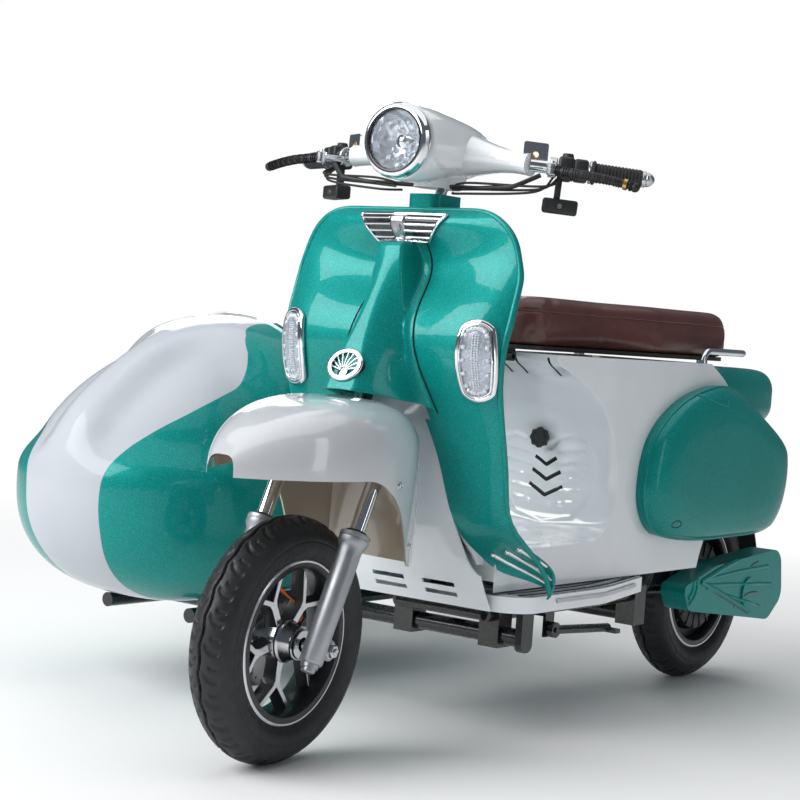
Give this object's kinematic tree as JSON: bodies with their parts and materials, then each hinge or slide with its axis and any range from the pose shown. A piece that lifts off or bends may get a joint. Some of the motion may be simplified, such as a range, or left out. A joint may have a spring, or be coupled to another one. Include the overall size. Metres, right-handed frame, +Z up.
{
  "type": "sidecar motorcycle",
  "caption": "Electric step-through scooter with a rounded sidecar on its right side, a steering front end, turning wheels, a hinged seat and a folding stand.",
  "frame": {"origin": "on the ground, at the middle of the model's footprint", "axes": "+Y towards the rear, +X towards the rider's left, +Z up"},
  "size_m": [1.377, 1.7936, 1.0981],
  "materials": {
    "tyre": "matte",
    "wheel_alloy": "machined",
    "brushed_steel": "brushed",
    "chrome": "polished",
    "slider_alloy": "satin",
    "dark_metal": "satin",
    "white_paint": "gloss",
    "teal_paint": "metallic gloss",
    "black_paint": "gloss",
    "lamp_glass": "clear",
    "red_lens": "clear",
    "grip_rubber": "matte",
    "black_plastic": "matte",
    "brown_leather": "satin",
    "red_spring": "gloss"
  },
  "bodies": {
    "scooter_and_sidecar": {"battery": "black_plastic", "body_shell": "white_paint", "floor_pan": "white_paint", "floor_trim": "slider_alloy", "grab_rail": "chrome", "horn_cover": "teal_paint", "inner_panels": "white_paint", "lamp_lenses": "lamp_glass", "leg_shield": "teal_paint", "main_frame": "black_paint", "motor_cover": "teal_paint", "rear_mudguard": "black_plastic", "rear_shocks": "red_spring", "shield_brightwork": "chrome", "side_cowls": "teal_paint", "sidecar_bench": "black_plastic", "sidecar_body": "teal_paint", "sidecar_cushions": "brown_leather", "sidecar_fender": "teal_paint", "sidecar_frame": "black_paint", "sidecar_trim": "chrome", "swingarm": "black_paint", "tail_cover": "teal_paint", "tail_lamp": "red_lens"},
    "steering": {"headset": "white_paint", "headlight_ring": "chrome", "headlight_lens": "lamp_glass", "handlebar": "chrome", "grips": "grip_rubber", "hand_controls": "black_plastic", "control_cables": "black_plastic", "fork": "chrome", "fork_sliders": "slider_alloy", "front_brake": "dark_metal", "front_fender": "white_paint"},
    "seat": {"seat_base": "black_plastic", "seat_cushion": "brown_leather"},
    "front_wheel": {"front_tyre": "tyre", "front_rim": "wheel_alloy", "front_disc": "brushed_steel"},
    "rear_wheel": {"rear_tyre": "tyre", "rear_rim": "wheel_alloy"},
    "sidecar_wheel": {"sidecar_tyre": "tyre", "sidecar_rim": "wheel_alloy"},
    "stand": {"side_stand": "black_paint"}
  },
  "joints": [
    {"name": "steering", "type": "hinge", "parent": "scooter_and_sidecar", "child": "steering", "pos_m": [0.30047, -0.7842, 0], "axis": [0, 0.4226, 0.9063], "range_deg": [-34.5, 25.5]},
    {"name": "front_wheel_spin", "type": "hinge", "parent": "steering", "child": "front_wheel", "pos_m": [0.3008, -0.69419, 0.203], "axis": [0.997, 0.0703, -0.0328], "continuous": true},
    {"name": "rear_wheel_spin", "type": "hinge", "parent": "scooter_and_sidecar", "child": "rear_wheel", "pos_m": [0.30047, 0.6698, 0.203], "axis": [1, 0, 0], "continuous": true},
    {"name": "sidecar_wheel_spin", "type": "hinge", "parent": "scooter_and_sidecar", "child": "sidecar_wheel", "pos_m": [-0.62453, 0.4558, 0.203], "axis": [1, 0, 0], "continuous": true},
    {"name": "seat_hinge", "type": "hinge", "parent": "scooter_and_sidecar", "child": "seat", "pos_m": [0.30047, -0.1092, 0.68], "axis": [1, 0, 0], "range_deg": [0, 70]},
    {"name": "stand_hinge", "type": "hinge", "parent": "scooter_and_sidecar", "child": "stand", "pos_m": [0.46947, -0.1342, 0.196], "axis": [1, 0, 0], "range_deg": [-70, 0]}
  ]
}
